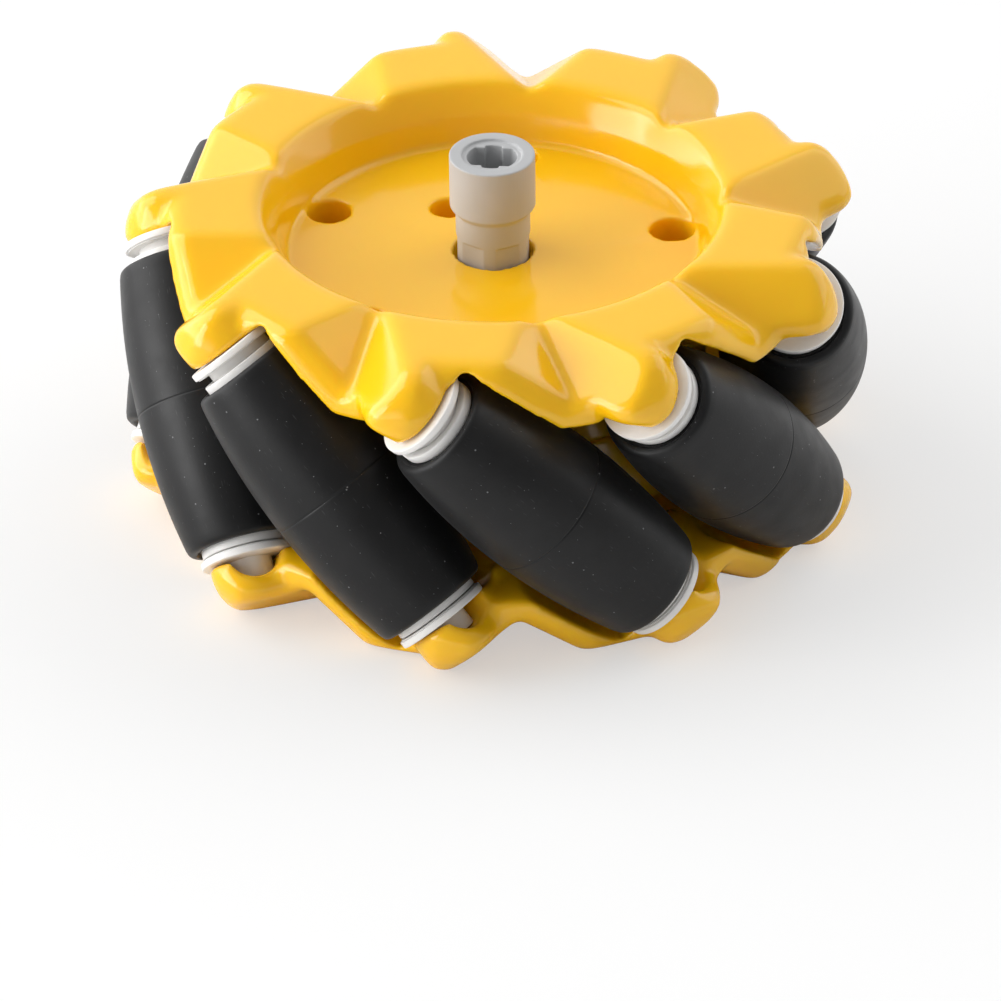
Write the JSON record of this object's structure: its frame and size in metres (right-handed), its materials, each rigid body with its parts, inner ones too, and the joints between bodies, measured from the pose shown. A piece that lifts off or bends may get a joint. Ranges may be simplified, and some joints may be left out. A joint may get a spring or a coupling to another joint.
{
  "type": "mecanum wheel",
  "caption": "Mecanum wheel: a yellow two-part plastic hub with black rubber barrel rollers at 45 degrees and a grey coupling for a motor shaft or cross axle.",
  "frame": {"origin": "on the wheel's axis, in the plane of the rear face on which the wheel lies", "axes": "+Z along the wheel's axis, from the rear face to the coupling; -Y looks at roller 1, which is 5 degrees round from it"},
  "size_m": [0.0799, 0.0801, 0.042],
  "materials": {
    "yellow_shell": "gloss",
    "grey_coupling": "satin",
    "white_plastic": "satin",
    "black_rubber": "matte",
    "steel": "satin"
  },
  "bodies": {
    "hub": {"front_shell": "yellow_shell", "rear_shell": "yellow_shell", "shaft_coupling": "grey_coupling", "shell_screws": "steel", "upper_bush_1": "white_plastic", "upper_bush_2": "white_plastic", "upper_bush_3": "white_plastic", "upper_bush_4": "white_plastic", "upper_bush_5": "white_plastic", "upper_bush_6": "white_plastic", "upper_bush_7": "white_plastic", "upper_bush_8": "white_plastic", "upper_bush_9": "white_plastic", "lower_bush_1": "white_plastic", "lower_bush_2": "white_plastic", "lower_bush_3": "white_plastic", "lower_bush_4": "white_plastic", "lower_bush_5": "white_plastic", "lower_bush_6": "white_plastic", "lower_bush_7": "white_plastic", "lower_bush_8": "white_plastic", "lower_bush_9": "white_plastic", "axle_pin_1": "steel", "axle_pin_2": "steel", "axle_pin_3": "steel", "axle_pin_4": "steel", "axle_pin_5": "steel", "axle_pin_6": "steel", "axle_pin_7": "steel", "axle_pin_8": "steel", "axle_pin_9": "steel"},
    "roller_1": {"roller_tread_1": "black_rubber", "roller_core_1": "white_plastic"},
    "roller_2": {"roller_tread_2": "black_rubber", "roller_core_2": "white_plastic"},
    "roller_3": {"roller_tread_3": "black_rubber", "roller_core_3": "white_plastic"},
    "roller_4": {"roller_tread_4": "black_rubber", "roller_core_4": "white_plastic"},
    "roller_5": {"roller_tread_5": "black_rubber", "roller_core_5": "white_plastic"},
    "roller_6": {"roller_tread_6": "black_rubber", "roller_core_6": "white_plastic"},
    "roller_7": {"roller_tread_7": "black_rubber", "roller_core_7": "white_plastic"},
    "roller_8": {"roller_tread_8": "black_rubber", "roller_core_8": "white_plastic"},
    "roller_9": {"roller_tread_9": "black_rubber", "roller_core_9": "white_plastic"}
  },
  "joints": [
    {"name": "roller_1_spin", "type": "hinge", "parent": "hub", "child": "roller_1", "pos_m": [0.00279, -0.03188, 0.0184], "axis": [-0.7044, -0.0616, 0.7071], "continuous": true},
    {"name": "roller_2_spin", "type": "hinge", "parent": "hub", "child": "roller_2", "pos_m": [0.02263, -0.02263, 0.0184], "axis": [-0.5, -0.5, 0.7071], "continuous": true},
    {"name": "roller_3_spin", "type": "hinge", "parent": "hub", "child": "roller_3", "pos_m": [0.03188, -0.00279, 0.0184], "axis": [-0.0616, -0.7044, 0.7071], "continuous": true},
    {"name": "roller_4_spin", "type": "hinge", "parent": "hub", "child": "roller_4", "pos_m": [0.02621, 0.01835, 0.0184], "axis": [0.4056, -0.5792, 0.7071], "continuous": true},
    {"name": "roller_5_spin", "type": "hinge", "parent": "hub", "child": "roller_5", "pos_m": [0.00828, 0.03091, 0.0184], "axis": [0.683, -0.183, 0.7071], "continuous": true},
    {"name": "roller_6_spin", "type": "hinge", "parent": "hub", "child": "roller_6", "pos_m": [-0.01352, 0.029, 0.0184], "axis": [0.6409, 0.2988, 0.7071], "continuous": true},
    {"name": "roller_7_spin", "type": "hinge", "parent": "hub", "child": "roller_7", "pos_m": [-0.029, 0.01352, 0.0184], "axis": [0.2988, 0.6409, 0.7071], "continuous": true},
    {"name": "roller_8_spin", "type": "hinge", "parent": "hub", "child": "roller_8", "pos_m": [-0.03091, -0.00828, 0.0184], "axis": [-0.183, 0.683, 0.7071], "continuous": true},
    {"name": "roller_9_spin", "type": "hinge", "parent": "hub", "child": "roller_9", "pos_m": [-0.01835, -0.02621, 0.0184], "axis": [-0.5792, 0.4056, 0.7071], "continuous": true}
  ]
}
